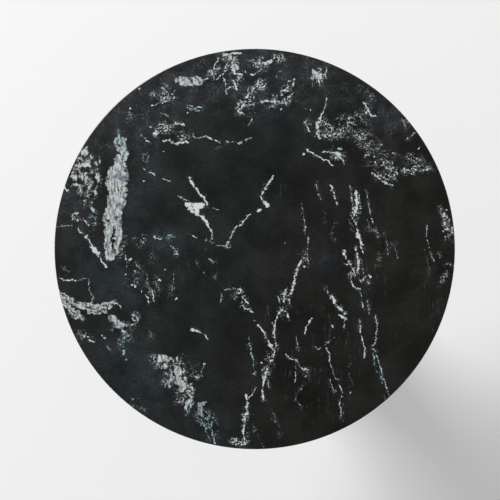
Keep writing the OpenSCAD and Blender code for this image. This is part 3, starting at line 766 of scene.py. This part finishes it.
def spot_group():
    """Raises a running value to strength * (1 - distance) inside one turned ellipse."""
    tree, g, given = shader_group("stone_spot", {
        "Point": "Vector", "Centre": "Vector", "Axis": "Vector", "Squash": "Vector",
        "Slope": "Float", "Strength": "Float", "Before": "Float",
    })
    from_centre = g.vector("SUBTRACT", given["Point"], given["Centre"])
    along = g.vector("PROJECT", from_centre, given["Axis"])
    rounded = g.vector("MULTIPLY_ADD", along, given["Squash"], from_centre)
    away = g.vector("LENGTH", rounded)
    value = g.math("MULTIPLY_ADD", away, given["Slope"], given["Strength"])
    g.node("NodeGroupOutput", {"Value": g.math("MAXIMUM", value, given["Before"])})
    return tree


def use_group(g, group, sockets):
    return g.node("ShaderNodeGroup", sockets, node_tree=group).outputs["Value"]


def draw_veins(g, group, point, veins):
    """The highest value that any of the veins has at point. Beside them it falls to BESIDE, below zero."""
    highest = BESIDE
    for width, strength, points in veins:
        corners = [Vector(in_radii(place)) for place in points]
        for start, end in zip(corners, corners[1:]):
            along = end - start
            highest = use_group(g, group, {
                "Point": point,
                "Start": (*start, 0.0),
                "Along": (*along, 0.0),
                "Inverse": (*(along / along.length_squared), 0.0),
                "Slope": -strength / (width / PARTS),
                "Strength": strength,
                "Before": highest,
            })
    return highest


def draw_spots(g, group, point, spots):
    """The highest value that any of the turned ellipses has at point."""
    highest = 0.0
    for *size, turn, strength in spots:
        u, v, half_length, half_width = in_radii(size)
        squash = half_width / half_length - 1
        highest = use_group(g, group, {
            "Point": point,
            "Centre": (u, v, 0.0),
            "Axis": (math.cos(math.radians(turn)), math.sin(math.radians(turn)), 0.0),
            "Squash": (squash, squash, 0.0),
            "Slope": -strength / half_width,
            "Strength": strength,
            "Before": highest,
        })
    return highest


def warped(g, point, flat, push):
    """flat, pushed about by noise at point."""
    scale, reach, detail = push
    noise = g.noise(point, scale, detail, output="Color")
    centred = g.vector("SUBTRACT", noise, (0.5, 0.5, 0.5))
    return g.vector("MULTIPLY_ADD", centred, (reach, reach, 0.0), flat)


def stone_points(g):
    """The point in top radii, with Z = 0 on the upper face, and the same point pushed about in three ways."""
    _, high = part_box("marble_top")
    radius = high.x
    from_top = g.vector("SUBTRACT", object_point(g), (0.0, 0.0, high.z))
    plain = g.vector("DIVIDE", from_top, (radius, radius, radius))
    depth = g.node("ShaderNodeSeparateXYZ", {0: plain}).outputs["Z"]
    flat = g.vector("MULTIPLY_ADD", LEAN, depth, plain)
    bent = warped(g, plain, flat, BEND)
    torn = warped(g, plain, bent, TEAR)
    wavy = warped(g, plain, torn, WAVE)
    return SimpleNamespace(plain=plain, bent=bent, torn=torn, wavy=wavy)


def stone_zones(g, at):
    """The tables, drawn: what each one's veins or ellipses give at the point."""
    segments = segment_group()
    spots = spot_group()
    return SimpleNamespace(
        vein=draw_veins(g, segments, at.torn, VEINS),
        patch=draw_veins(g, segments, at.wavy, PATCHES),
        fleck=draw_spots(g, spots, at.torn, FLECKS),
        lace=draw_spots(g, spots, at.wavy, LACE),
        cloud=draw_spots(g, spots, at.wavy, CLOUDS),
        gap=draw_spots(g, spots, at.wavy, GAPS),
        lavender=draw_spots(g, spots, at.bent, LAVENDER),
        hair=draw_spots(g, spots, at.bent, HAIRLINES),
        teal=draw_spots(g, spots, at.bent, TEAL),
        upper=draw_spots(g, spots, at.bent, CHARCOAL_AND_SHEEN),
        blue=draw_spots(g, spots, at.bent, BLUE_BLACK),
        deep=draw_spots(g, spots, at.bent, DEEP),
    )


def stone_grain(g, at):
    """Textures that break the drawn shapes up, and a net of fine curly threads and specks."""
    speck = g.noise(at.plain, 105.0, 2.0, 0.6)
    curls = g.noise(at.torn, 32.0, 2.0, 0.55)
    patchy = g.noise(at.plain, 17.0, 3.0, 0.6)
    long_patches = g.noise(at.plain, 34.0, 1.0, 0.5)
    threads = g.math("MAXIMUM", g.line(curls, 0.46, 0.038), g.line(long_patches, 0.53, 0.038))
    net = g.math("MAXIMUM", threads, g.step(speck, 0.55, 0.68))
    net = g.math("MULTIPLY", net, g.step(speck, *MOST, 0.20, 1.02))
    return SimpleNamespace(speck=speck, curls=curls, patchy=patchy, long_patches=long_patches, net=net)


def vein_lights(g, zone, grain):
    """Veins with beads and faint stretches, flecks, and splinters beside the veins."""
    beads = g.step(grain.speck, *MOST, 0.50, 1.35)
    stretches = g.step(grain.long_patches, 0.34, 0.55, 0.45, 1.15)
    vein_value = g.math("MULTIPLY", g.math("MULTIPLY", zone.vein, beads), stretches)
    veins = g.step(vein_value, 0.06, 0.85)
    flecks = g.step(g.math("MULTIPLY", zone.fleck, beads), 0.10, 0.80)
    beside = g.step(zone.vein, BESIDE, 0.2)
    gate = g.math("MULTIPLY", beside, g.step(grain.patchy, 0.44, 0.62, 0.0, 0.50))
    splinters = g.math("MULTIPLY", grain.net, gate)
    return veins, flecks, splinters


def lace_light(g, zone, grain):
    """The net, thickest in the middle of the lace's zones."""
    patches = g.step(grain.patchy, *MOST, 0.25, 1.50)
    gate = g.step(g.math("MULTIPLY", zone.lace, patches), 0.03, 0.80)
    return g.math("MULTIPLY", grain.net, gate)


def pale_light(g, at, zone, grain):
    """Patches and clouds: pale fibres with dark flecks and gaps, the clouds more broken."""
    fibres = g.noise(g.vector("MULTIPLY", at.torn, FIBRE_STRETCH), 85.0, 3.0, 0.65)
    tearing = g.step(grain.speck, *MOST, 0.50, 1.30)
    firm = g.math("SUBTRACT", g.math("MULTIPLY", zone.patch, tearing), zone.gap)
    patches = g.math("MULTIPLY", g.step(firm, 0.20, 0.60), g.step(fibres, *MOST, 0.38, 0.80))
    torn_clouds = g.math("MULTIPLY", zone.cloud, tearing)
    ragged = g.math("MULTIPLY", torn_clouds, g.step(grain.long_patches, 0.36, 0.56, 0.35, 1.50))
    clouds = g.math("MULTIPLY", g.step(ragged, 0.06, 0.70), g.step(fibres, 0.38, 0.60, 0.12, 0.92))
    cracks = g.line(grain.curls, 0.52, 0.030)
    return g.math("MULTIPLY_ADD", cracks, -0.16, g.math("MAXIMUM", patches, clouds))


def hairline_light(g, at, zone, grain):
    """Faint, nearly upright lines."""
    upright = g.noise(g.vector("MULTIPLY", at.bent, UPRIGHT_STRETCH), 46.0, 1.0, 0.5)
    field = g.step(zone.hair, 0.0, 0.6, 0.0, 0.15)
    gate = g.math("MULTIPLY", field, g.step(grain.patchy, 0.40, 0.60))
    return g.math("MULTIPLY", g.line(upright, 0.50, 0.035), gate)


def painted_sheen_and_charcoal(g, zone, grain):
    """How far the ground has turned charcoal: a tint of the stone that, along the upper rim, is also a
    painted sheen of reflected light.
    """
    patches = g.step(grain.patchy, 0.30, 0.62, 0.4, 1.3)
    return g.step(g.math("MULTIPLY", zone.upper, patches), 0.05, 0.9)


def ghost_light(g, sheen_and_charcoal_share, grain):
    """A dim net across the charcoal ground, where a painted sheen also lies."""
    gate = g.math("MULTIPLY", sheen_and_charcoal_share, g.step(grain.patchy, 0.44, 0.60, 0.05, 0.26))
    return g.math("MULTIPLY", grain.net, gate)


def ground_colour(g, at, zone, grain, sheen_and_charcoal_share):
    """Neutral black, warmer to the right, charcoal along the upper rim that is partly a painted sheen of
    reflected light, blue-black to the left.
    """
    cloudy = g.noise(at.plain, 5.0, 4.0, 0.62)
    side = g.vector("DOT_PRODUCT", at.plain, WARMER)
    ground = g.mix(g.step(side, -0.2, 0.5), NEUTRAL_BLACK, WARM_BLACK)
    # Charcoal tint, which along the upper rim is also a painted sheen of reflected light
    ground = g.mix(sheen_and_charcoal_share, ground, CHARCOAL_AND_SHEEN_TONE)
    patches = g.step(grain.patchy, 0.30, 0.62, 0.3, 1.4)
    blue_share = g.step(g.math("MULTIPLY", zone.blue, patches), 0.05, 0.9)
    ground = g.mix(blue_share, ground, BLUE_TONE)
    swell = g.step(cloudy, 0.34, 0.68, 0.65, 1.35)
    gain = g.math("MULTIPLY", swell, g.step(grain.speck, 0.35, 0.70, 0.80, 1.45))
    gain = g.math("MULTIPLY", gain, g.step(zone.deep, 0.0, 0.8, 1.0, 0.72))
    shade = g.node("ShaderNodeCombineColor", {0: gain, 1: gain, 2: gain}).outputs[0]
    return g.mix(1.0, ground, shade, "MULTIPLY")


def stone_colour(g, zone, grain, light, ground):
    """The ground, turning through dim edges to pale stone where there is light."""
    drift = g.math("SUBTRACT", grain.long_patches, 0.5)
    teal_share = g.step(g.math("MULTIPLY_ADD", drift, 1.2, zone.teal), 0.1, 0.9)
    pale = g.mix(teal_share, PALE, PALE_TEAL)
    pale = g.mix(g.step(zone.lavender, 0.1, 0.9), pale, PALE_LAVENDER)
    dim = g.mix(teal_share, DIM, DIM_TEAL)
    vein_colour = g.mix(g.step(light, 0.25, 1.0), dim, pale)
    return g.mix(g.step(light, 0.0, 0.35), ground, vein_colour)


def marble():
    """Honed black marble with pale, teal-tinged veins, lace and clouds."""
    material, g, shader = new_material("honed_marble")
    at = stone_points(g)
    zone = stone_zones(g, at)
    grain = stone_grain(g, at)

    light, *others = vein_lights(g, zone, grain)
    others.append(lace_light(g, zone, grain))
    others.append(pale_light(g, at, zone, grain))
    others.append(hairline_light(g, at, zone, grain))
    sheen_and_charcoal_share = painted_sheen_and_charcoal(g, zone, grain)
    others.append(ghost_light(g, sheen_and_charcoal_share, grain))
    for other in others:
        light = g.math("MAXIMUM", light, other)

    ground = ground_colour(g, at, zone, grain, sheen_and_charcoal_share)
    g.feed(shader, {
        "Base Color": stone_colour(g, zone, grain, light, ground),
        "Roughness": g.step(g.noise(at.plain, 6.0, 3.0, 0.6), *NEARLY_ALL, 0.27, 0.34),
        "Specular IOR Level": 0.30,
        "Normal": g.bump(grain.speck, 0.05, 0.0002),
    })
    return material


# ---------------------------------------------------------------- stage

def camera():
    """Straight above the table, with the top's centre a little right of and above the picture's centre."""
    low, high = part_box("marble_top")
    radius = (high.x - low.x) / 2
    above = 2.5
    top_share_of_width = 0.8012
    right = -0.0236 * radius
    up = -0.0049 * radius
    data = bpy.data.cameras.new("camera")
    data.sensor_width = 36.0
    data.lens = data.sensor_width * above * top_share_of_width / (2 * radius)
    data.dof.use_dof = False
    made = bpy.data.objects.new("camera", data)
    made.location = (right, up, high.z + above)
    scene.collection.objects.link(made)
    scene.camera = made


def floor():
    half = 6.0
    corners = [(-half, -half, 0), (half, -half, 0), (half, half, 0), (-half, half, 0)]
    mesh = bpy.data.meshes.new("floor")
    mesh.from_pydata(corners, [], [(0, 1, 2, 3)])
    made = bpy.data.objects.new("floor", mesh)
    scene.collection.objects.link(made)
    material, g, shader = new_material("pale_floor")
    g.feed(shader, {"Base Color": (0.80, 0.80, 0.80, 1.0), "Roughness": 0.9, "Specular IOR Level": 0.1})
    mesh.materials.append(material)


def key_light():
    """A large soft light from the upper left."""
    rise = math.radians(42)
    half_width = math.radians(7)
    half_height = math.radians(6)
    distance = 9.0
    aim = Vector((0, 0, 0.4))
    towards = Vector((-0.685, 0.729, math.tan(rise))).normalized()
    data = bpy.data.lights.new("key", "AREA")
    data.shape = "RECTANGLE"
    data.size = 2 * distance * math.tan(half_width)
    data.size_y = 2 * distance * math.tan(half_height)
    data.energy = 626
    data.color = (1.0, 0.99, 0.98)
    made = bpy.data.objects.new("key", data)
    made.location = towards * distance + aim
    made.rotation_euler = towards.to_track_quat("Z", "Y").to_euler()
    scene.collection.objects.link(made)


def sky():
    """A sky that is darker overhead than near the horizon."""
    low_sky = (1.20, 1.20, 1.20, 1.0)
    high_sky = (0.075, 0.078, 0.082, 1.0)
    world = bpy.data.worlds.new("studio")
    scene.world = world
    world.use_nodes = True
    world.node_tree.nodes.clear()
    g = Graph(world.node_tree)
    direction = g.node("ShaderNodeTexCoord").outputs["Generated"]
    height = g.node("ShaderNodeSeparateXYZ", {0: direction}).outputs["Z"]
    colour = g.mix(g.step(height, 0.45, 0.93), low_sky, high_sky)
    background = g.node("ShaderNodeBackground", {"Color": colour, "Strength": 1.0})
    g.node("ShaderNodeOutputWorld", {"Surface": background.outputs[0]})


# ---------------------------------------------------------------- other materials

def tinted(g, share, colour, low, high):
    """A colour that gets darker and lighter by share, from low to high times itself."""
    dark = (*(low * c for c in colour), 1.0)
    light = (*(high * c for c in colour), 1.0)
    return g.mix(share, dark, light)


def powder_coat():
    """Satin black powder coat: fine orange peel, faint patches of more and less gloss."""
    material, g, shader = new_material("satin_powder_coat")
    black = (0.0165, 0.0165, 0.0175)
    at = object_point(g)
    peel = g.noise(at, 850.0, 2.0, 0.45)
    patches = g.noise(at, 14.0, 3.0, 0.55)
    g.feed(shader, {
        "Base Color": tinted(g, patches, black, 0.85, 1.2),
        "Roughness": g.step(patches, *NEARLY_ALL, 0.36, 0.44),
        "Normal": g.bump(peel, 0.22, 0.00025),
    })
    return material


def cast_iron():
    """Sand-cast iron under grey primer: gritty skin, shallow pits darkened with painted shade, and a broad
    random tone.
    """
    material, g, shader = new_material("sand_cast_iron")
    grey = (0.070, 0.071, 0.073)
    at = object_point(g)
    grit = g.noise(at, 620.0, 4.0, 0.6)
    pits = g.step(g.cells(at, 160.0), 0.05, 0.30)
    swell = g.noise(at, 22.0, 3.0, 0.5)
    skin = g.math("MULTIPLY_ADD", pits, 0.8, grit)
    # Painted shade darkens the pits, over a broad random tone
    pit_shade_and_tone = g.math("MULTIPLY", swell, pits)
    g.feed(shader, {
        "Base Color": tinted(g, pit_shade_and_tone, grey, 0.65, 1.35),
        "Roughness": g.step(grit, *NEARLY_ALL, 0.62, 0.80),
        "Normal": g.bump(skin, 0.6, 0.0004),
    })
    return material


def zinc_plate():
    """Bright zinc plate with faint blue and straw patches and fine drawn marks."""
    material, g, shader = new_material("bright_zinc")
    blue = (0.56, 0.60, 0.66, 1.0)
    straw = (0.68, 0.66, 0.60, 1.0)
    at = object_point(g)
    bloom = g.noise(at, 120.0, 3.0, 0.6)
    marks = g.noise(g.vector("MULTIPLY", at, (1.0, 1.0, 9.0)), 700.0, 2.0, 0.5)
    g.feed(shader, {
        "Base Color": g.mix(g.step(bloom, 0.35, 0.65), blue, straw),
        "Metallic": 1.0,
        "Roughness": g.step(marks, *NEARLY_ALL, 0.24, 0.38),
        "Normal": g.bump(marks, 0.15, 0.0001),
    })
    return material


def turned_brass():
    """Turned brass: fine tool marks round the axis and a slight tarnish."""
    material, g, shader = new_material("turned_brass")
    dull = (0.60, 0.42, 0.19, 1.0)
    bright = (0.82, 0.63, 0.32, 1.0)
    at = object_point(g)
    tarnish = g.noise(at, 180.0, 3.0, 0.6)
    tool_marks = g.noise(g.vector("MULTIPLY", at, (0.05, 0.05, 1.0)), 5200.0, 1.0, 0.5)
    g.feed(shader, {
        "Base Color": g.mix(tarnish, dull, bright),
        "Metallic": 1.0,
        "Roughness": g.step(tarnish, *NEARLY_ALL, 0.26, 0.42),
        "Normal": g.bump(tool_marks, 0.25, 0.0001),
    })
    return material


def clear_silicone():
    """Clear moulded silicone, a little cloudy, with a faint matt skin."""
    material, g, shader = new_material("moulded_silicone")
    cloudy = (0.80, 0.83, 0.84, 1.0)
    clear = (0.92, 0.94, 0.94, 1.0)
    at = object_point(g)
    haze = g.noise(at, 260.0, 3.0, 0.6)
    g.feed(shader, {
        "Base Color": g.mix(haze, cloudy, clear),
        "Transmission Weight": 0.75,
        "IOR": 1.41,
        "Roughness": g.step(haze, *NEARLY_ALL, 0.22, 0.36),
        "Normal": g.bump(haze, 0.1, 0.0001),
    })
    return material


def moulded(name, colour, roughness, grain, strength):
    """A moulded black rubber or plastic with a fine grained skin."""
    material, g, shader = new_material(name)
    spread = 0.06
    at = object_point(g)
    skin = g.noise(at, grain, 3.0, 0.6)
    patches = g.noise(at, 60.0, 2.0, 0.5)
    g.feed(shader, {
        "Base Color": tinted(g, patches, colour, 0.8, 1.25),
        "Roughness": g.step(skin, *NEARLY_ALL, roughness - spread, roughness + spread),
        "Normal": g.bump(skin, strength, 0.0002),
    })
    return material


# ---------------------------------------------------------------- pieces

# The thread on the tie rod and in its nut
TIE_PITCH = 0.00175
# The flange on each levelling screw
FLANGE_R = 0.007
FLANGE_T = 0.002


def cut(bm, cutters):
    """Takes the cutters' bmesh out of bm and returns the result as a new bmesh."""
    meshes = []
    for shape in (bm, cutters):
        bmesh.ops.recalc_face_normals(shape, faces=shape.faces)
        mesh = bpy.data.meshes.new("cut")
        shape.to_mesh(mesh)
        shape.free()
        meshes.append(mesh)
    whole, tool = [bpy.data.objects.new("cut", mesh) for mesh in meshes]
    scene.collection.objects.link(whole)
    scene.collection.objects.link(tool)
    modifier = whole.modifiers.new("cut", "BOOLEAN")
    modifier.operation = "DIFFERENCE"
    modifier.object = tool
    modifier.solver = "EXACT"
    result = bmesh.new()
    result.from_object(whole, bpy.context.evaluated_depsgraph_get())
    for made in (whole, tool):
        bpy.data.objects.remove(made)
    for mesh in meshes:
        bpy.data.meshes.remove(mesh)
    return result


def around(count, radius, start=0):
    """Places that stand round the axis, each turned to face outward."""
    outward = Matrix.Translation((radius, 0, 0))
    for index in range(count):
        yield Matrix.Rotation(math.radians(start + 360 * index / count), 4, "Z") @ outward


def stone_top():
    """The disc with rounded rims, and the six blind holes that the brass inserts stand in."""
    low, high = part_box("marble_top")
    _, insert_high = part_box("stone_inserts")
    radius = high.x
    ease = 0.0015
    insert_r = 0.005
    glue_gap = 0.0002
    hole_r = insert_r + glue_gap
    hole_end = insert_high.z + 0.001
    below = low.z - 0.002

    lower_rim = corner(radius - ease, low.z + ease, ease, -90, 0, 8)
    upper_rim = corner(radius - ease, high.z - ease, ease, 0, 90, 8)
    disc = turned([(0, low.z)] + lower_rim + upper_rim + [(0, high.z)], 384)
    hole = [(0, below), (hole_r, below), (hole_r, hole_end), (0, hole_end)]
    holes = turned(hole, 48, around(6, insert_high.x - insert_r))
    add_piece("marble_disc", cut(disc, holes), "black_marble", "table", "marble_top")


def bumpers():
    """Nine silicone pads, pressed into slightly domed buttons with a soft edge."""
    low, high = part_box("silicone_bumpers")
    pad_r = 0.010
    outer_circle_r = high.y - pad_r
    inner_circle_r = 0.060
    half = (high.z - low.z) / 2
    outline = [(0, low.z)] + corner(pad_r - half, low.z + half, half, -90, 90, 10) + [(0, high.z)]
    pads = turned(outline, 64, (*around(6, outer_circle_r, 30), *around(3, inner_circle_r)))
    add_piece("silicone_buttons", pads, "clear_silicone", "table", "silicone_bumpers")


def inserts():
    """Brass inserts with two glue grooves, a knurl between them and a threaded bore."""
    low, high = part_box("stone_inserts")
    outer = 0.005
    bore = 0.00305
    pitch = 0.001
    ease = 0.0004
    knurl_depth = 0.00018
    knurl_ridges = 36
    groove_r = outer - 0.0004
    groove_half = 0.0005
    groove_slope = 0.0002
    length = high.z - low.z

    def outline(angle):
        ridge = outer - knurl_depth * (0.5 + 0.5 * math.cos(angle * knurl_ridges))
        rows = [(bore + ease, low.z), (outer - ease, low.z), (outer, low.z + ease)]
        for part in (1, 2):
            start = low.z + part * length / 3 - groove_half
            end = start + 2 * groove_half
            rows += [(ridge, start - groove_slope), (groove_r, start)]
            rows += [(groove_r, end), (ridge, end + groove_slope)]
        rows += [(outer, high.z - ease), (outer - ease, high.z), (bore + ease, high.z)]
        return rows + thread(angle, bore, pitch, low.z + ease, high.z - ease, inward=True)[::-1]

    sleeves = turned(outline, 72, around(6, high.x - outer))
    add_piece("threaded_inserts", sleeves, "brass", "table", "stone_inserts", sharp=40)


def column():
    """The column's tube, with its sawn ends eased."""
    low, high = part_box("column_tube")
    wall = 0.0025
    ease = 0.0004
    tube = turned(rounded_bar(high.x - wall, high.x, low.z, high.z, ease, 3), 256)
    add_piece("column_shell", tube, "black_powder_coat", "table", "column_tube")


def flared_cover():
    """The spun cover: neck, quarter-ellipse flare, flat land, rounded rim and a hemmed lower edge."""
    low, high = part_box("base_cover")
    wall = 0.002
    neck_r = 0.093
    land_w = 0.018
    land_r = high.x - land_w
    land_z = 0.020
    rim = 0.003
    steps = 56

    def flare(grow):
        width = land_r - neck_r + grow
        height = high.z - land_z + grow
        angles = [math.pi / 2 * step / steps for step in range(steps + 1)]
        return [(land_r - width * math.cos(a), high.z - height * math.sin(a)) for a in angles]

    outer_rim = corner(high.x - rim, land_z - rim, rim, 90, 0, 8)
    hem = corner(high.x - wall / 2, low.z + wall / 2, wall / 2, 0, -180, 8)
    inner_rim = corner(high.x - rim, land_z - rim, rim - wall, 0, 90, 4)
    cover = turned(flare(0) + outer_rim + hem + inner_rim + flare(wall)[::-1], 256)
    add_piece("spun_cover", cover, "black_powder_coat", "table", "base_cover")


def rattle_ring():
    """The rubber ring on the ballast's land, with rounded edges."""
    low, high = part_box("anti_rattle_ring")
    width = 0.0075
    ease = 0.0009
    ring = turned(rounded_bar(high.x - width, high.x, low.z, high.z, ease), 256)
    add_piece("rubber_ring", ring, "black_rubber", "table", "anti_rattle_ring")


def rod():
    """The tie rod, threaded at each end."""
    low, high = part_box("tie_rod")
    major = high.x
    threaded = 0.034
    chamfer = 0.001

    def outline(angle):
        lower = thread(angle, major, TIE_PITCH, low.z + chamfer, low.z + threaded)
        upper = thread(angle, major, TIE_PITCH, high.z - threaded, high.z - chamfer)
        sides = [(major - chamfer, low.z)] + lower + upper + [(major - chamfer, high.z)]
        return [(0, low.z)] + sides + [(0, high.z)]

    add_piece("threaded_rod", turned(outline, 60), "zinc_plate", "table", "tie_rod", sharp=40)


def nut():
    """The tie rod's nut, chamfered at both ends, with its thread."""
    low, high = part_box("tie_nut")
    flats = high.y - low.y
    bore = 0.00605
    lead = 0.0006

    def outline(angle):
        outside = chamfered_hex(angle, flats, low.z, high.z)
        inside = thread(angle, bore, TIE_PITCH, low.z + lead, high.z - lead, inward=True)
        return [(bore + lead, low.z)] + outside + [(bore + lead, high.z)] + inside[::-1]

    add_piece("chamfered_nut", turned(outline, 72), "zinc_plate", "table", "tie_nut", sharp=40)


def foot_pad(number, place, top, seat):
    """The moulded pad, with grip ribs and an undercut pocket. The screw's flange stands on seat in it."""
    outer = 0.018
    ribs = 30
    rib_depth = 0.0005
    pocket_r = FLANGE_R + 0.00005
    pocket_top = seat + FLANGE_T + 0.00013
    lip_r = 0.0046
    lip_ease = 0.0004

    def outline(angle):
        # From the floor up the ribbed side, over the rounded crown and down into the pocket
        side = outer - rib_depth * (0.5 - 0.5 * math.cos(angle * ribs)) ** 2
        foot = [(0, 0), (outer - 0.0015, 0), (side - 0.0002, 0.0013), (side, 0.002)]
        shoulder = [(side, top - 0.0022), (outer - 0.0012, top - 0.0014)]
        crown = [(outer - 0.0044, top - 0.0001), (outer - 0.005, top)]
        lip = corner(lip_r + lip_ease, top - lip_ease, lip_ease, 90, 180, 3)
        pocket = [(lip_r, pocket_top), (pocket_r, pocket_top), (pocket_r, seat), (0, seat)]
        return foot + shoulder + crown + lip + pocket

    pad = turned(outline, 180, [place])
    add_piece(f"nylon_pad_{number}", pad, "black_nylon", f"foot_{number}_pad", f"foot_pad_{number}")


def foot_screw(number, place, pad_top, seat, end):
    """The levelling screw: a flange that swivels in the pad, a plain neck, a hexagon and a threaded stem."""
    major = 0.004
    pitch = 0.00125
    ease = 0.0003
    chamfer = 0.0008
    hex_flats = 0.013
    hex_low = pad_top + 0.0002
    hex_high = hex_low + 0.005
    # The flange turns just clear of the pad's seat
    low = seat + 0.00003
    flange_top = seat + FLANGE_T

    def outline(angle):
        flange = (corner(FLANGE_R - ease, low + ease, ease, -90, 0, 3)
                  + corner(FLANGE_R - ease, flange_top - ease, ease, 0, 90, 3))
        head = chamfered_hex(angle, hex_flats, hex_low, hex_high)
        neck = [(major, flange_top), (major, hex_low)]
        stem = thread(angle, major, pitch, hex_high + ease, end - chamfer)
        tip = [(major - chamfer, end), (0, end)]
        return [(0, low)] + flange + neck + head + [(major, hex_high)] + stem + tip

    screw = turned(outline, 72, [place])
    name = f"levelling_screw_{number}"
    add_piece(name, screw, "zinc_plate", f"foot_{number}_screw", f"foot_screw_{number}", sharp=40)


def foot(number):
    """A levelling foot: the pad, and the screw that turns in it."""
    pad_low, pad_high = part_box(f"foot_pad_{number}")
    screw_low, screw_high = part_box(f"foot_screw_{number}")
    middle = (pad_low + pad_high) / 2
    turn = math.atan2(middle.y, middle.x)
    place = Matrix.Translation((middle.x, middle.y, 0)) @ Matrix.Rotation(turn, 4, "Z")
    seat = screw_low.z
    foot_pad(number, place, pad_high.z, seat)
    foot_screw(number, place, pad_high.z, seat, screw_high.z)


# ---------------------------------------------------------------- assembly

camera()
floor()
key_light()
sky()

finishes = {
    "black_marble": marble(),
    "black_powder_coat": powder_coat(),
    "primed_iron": cast_iron(),
    "zinc_plate": zinc_plate(),
    "brass": turned_brass(),
    "clear_silicone": clear_silicone(),
    "black_rubber": moulded("soft_rubber", (0.014, 0.014, 0.014), 0.78, 1500.0, 0.3),
    "black_nylon": moulded("grained_nylon", (0.022, 0.022, 0.023), 0.52, 2200.0, 0.25),
}
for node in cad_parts.values():
    for index, material in enumerate(node.data.materials):
        node.data.materials[index] = finishes[material.name]

stone_top()
bumpers()
inserts()
column()
flared_cover()
rattle_ring()
rod()
nut()
for number in FEET:
    foot(number)

scene.view_settings.view_transform = "Standard"
